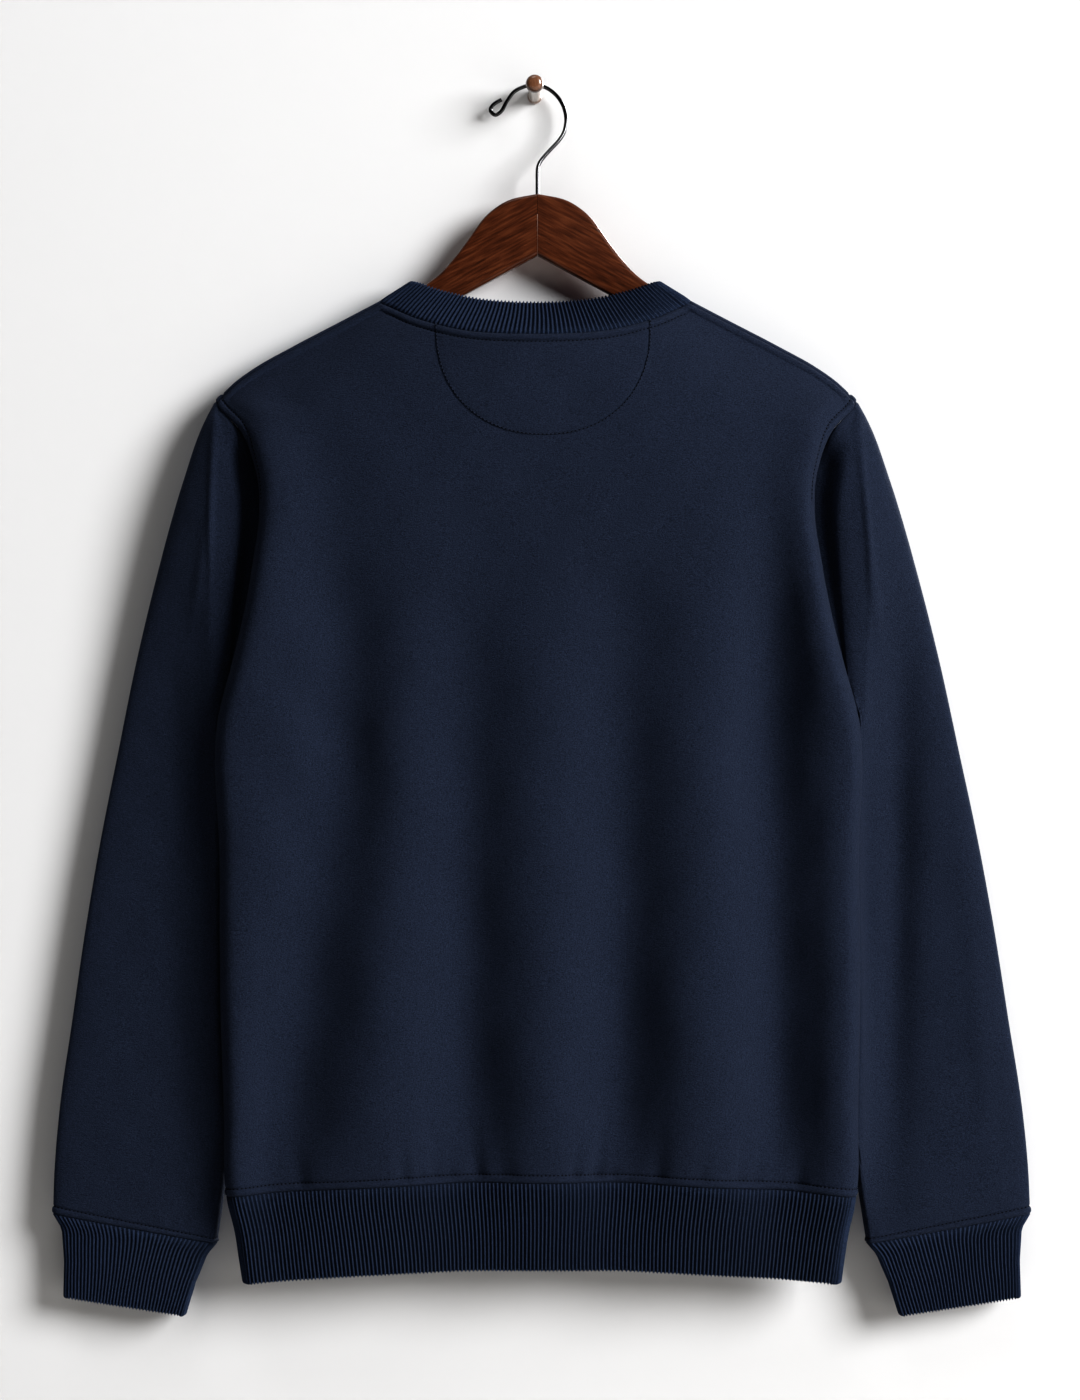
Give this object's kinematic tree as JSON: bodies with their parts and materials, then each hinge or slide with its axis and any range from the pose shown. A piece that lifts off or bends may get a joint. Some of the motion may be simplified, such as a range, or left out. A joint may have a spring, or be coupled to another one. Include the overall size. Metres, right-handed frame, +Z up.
{
  "type": "crewneck sweatshirt on a wooden hanger and wall peg",
  "caption": "Plain navy fleece crewneck sweatshirt with ribbed collar, cuffs and hem, hung back outwards on a wooden coat hanger whose wire hook rests on a round wooden wall peg.",
  "frame": {"origin": "centre of the peg's flat back face, where it meets the wall", "axes": "+Z up, +Y into the wall, -Y out of the wall, the way the sweatshirt's back faces; +X to the right of someone who faces the wall"},
  "size_m": [0.6979, 0.068, 0.8814],
  "materials": {
    "fleece": "matte navy loopback fleece",
    "rib_knit": "matte navy rib knit",
    "varnished_wood": "satin varnish over dark red-brown wood",
    "steel_wire": "polished",
    "peg_wood": "gloss varnish over brown wood"
  },
  "bodies": {
    "root": {"front_panel": "fleece", "back_panel": "fleece", "sleeve_left": "fleece", "sleeve_right": "fleece", "collar_rib": "rib_knit", "hem_rib": "rib_knit", "cuff_left": "rib_knit", "cuff_right": "rib_knit", "hanger_arm_left": "varnished_wood", "hanger_arm_right": "varnished_wood", "hanger_hook": "steel_wire", "wall_peg": "peg_wood"}
  },
  "joints": []
}
